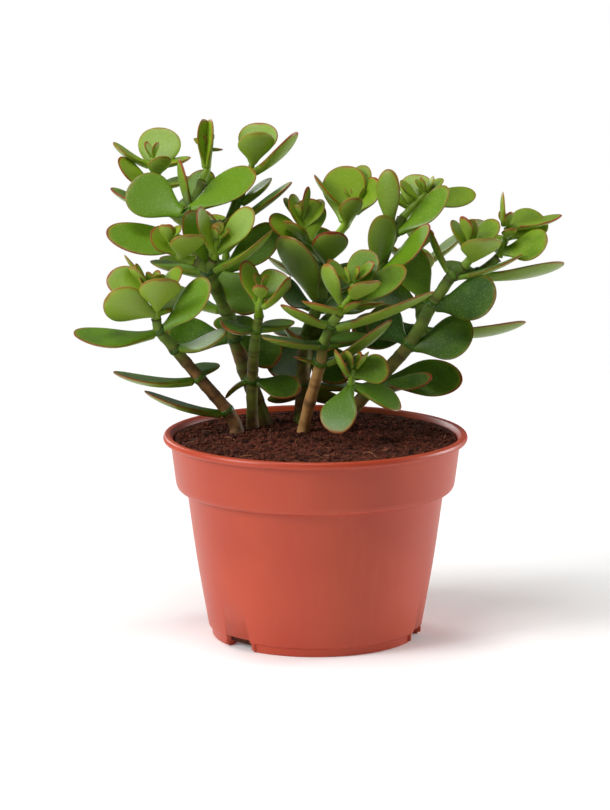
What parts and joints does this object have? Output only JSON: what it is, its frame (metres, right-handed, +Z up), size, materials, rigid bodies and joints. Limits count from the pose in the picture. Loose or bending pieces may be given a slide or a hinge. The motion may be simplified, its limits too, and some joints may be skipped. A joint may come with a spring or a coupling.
{
  "type": "potted jade plant",
  "caption": "Bushy jade plant with thick rounded leaves, red leaf edges and forking stems, growing in a round plastic nursery pot of dark coir soil.",
  "frame": {"origin": "centre of the pot's flat underside, where it rests on a table", "axes": "+Z up the plant, +X to the right seen from the front, -Y towards the front"},
  "size_m": [0.1925, 0.1319, 0.2009],
  "materials": {
    "pot": "semi-matte moulded terracotta-coloured plastic",
    "soil": "loose damp coir and peat, matt",
    "stem": "smooth brown bark with ring scars, green towards the ends",
    "leaf": "smooth fleshy green leaf with a soft sheen and a red edge",
    "tip": "smooth young green leaf with a soft sheen and a red edge"
  },
  "bodies": {
    "root": {"pot": "pot", "soil": "soil", "stem_left": "stem", "stem_mid": "stem", "stem_front": "stem", "stem_tall": "stem", "stem_centre": "stem", "stem_side": "stem", "leaves_left_2": "leaf", "leaves_left_3": "leaf", "leaves_left_4": "leaf", "leaves_left_5": "leaf", "leaves_mid_2": "leaf", "leaves_mid_4": "leaf", "leaves_front_3": "leaf", "leaves_front_4": "leaf", "leaves_front_5": "leaf", "leaves_fork_2": "leaf", "leaves_tall_3": "leaf", "leaves_tall_5": "leaf", "leaves_tall_6": "leaf", "leaves_tall_7": "leaf", "leaves_west_1": "leaf", "leaves_north_1": "leaf", "leaves_crest_1": "leaf", "leaves_crest_2": "leaf", "leaves_rear_left_1": "leaf", "leaves_centre_2": "leaf", "leaves_centre_3": "leaf", "leaves_centre_4": "leaf", "leaves_centre_5": "leaf", "leaves_right_1": "leaf", "leaves_right_2": "leaf", "leaves_right_3": "leaf", "leaves_rear_mid_1": "leaf", "leaves_rear_mid_2": "leaf", "leaves_side_2": "leaf", "leaves_side_3": "leaf", "leaves_side_4": "leaf", "leaves_side_5": "leaf", "leaves_far_1": "leaf", "leaves_under_1": "leaf", "leaves_under_2": "leaf", "tip_left": "tip", "tip_mid": "tip", "tip_front": "tip", "tip_fork": "tip", "tip_bud": "tip", "tip_west": "tip", "tip_north": "tip", "tip_crest": "tip", "tip_rear_left": "tip", "tip_inner": "tip", "tip_top": "tip", "tip_right": "tip", "tip_rear_mid": "tip", "tip_side": "tip", "tip_far": "tip", "tip_under": "tip", "tip_low": "tip"}
  },
  "joints": []
}
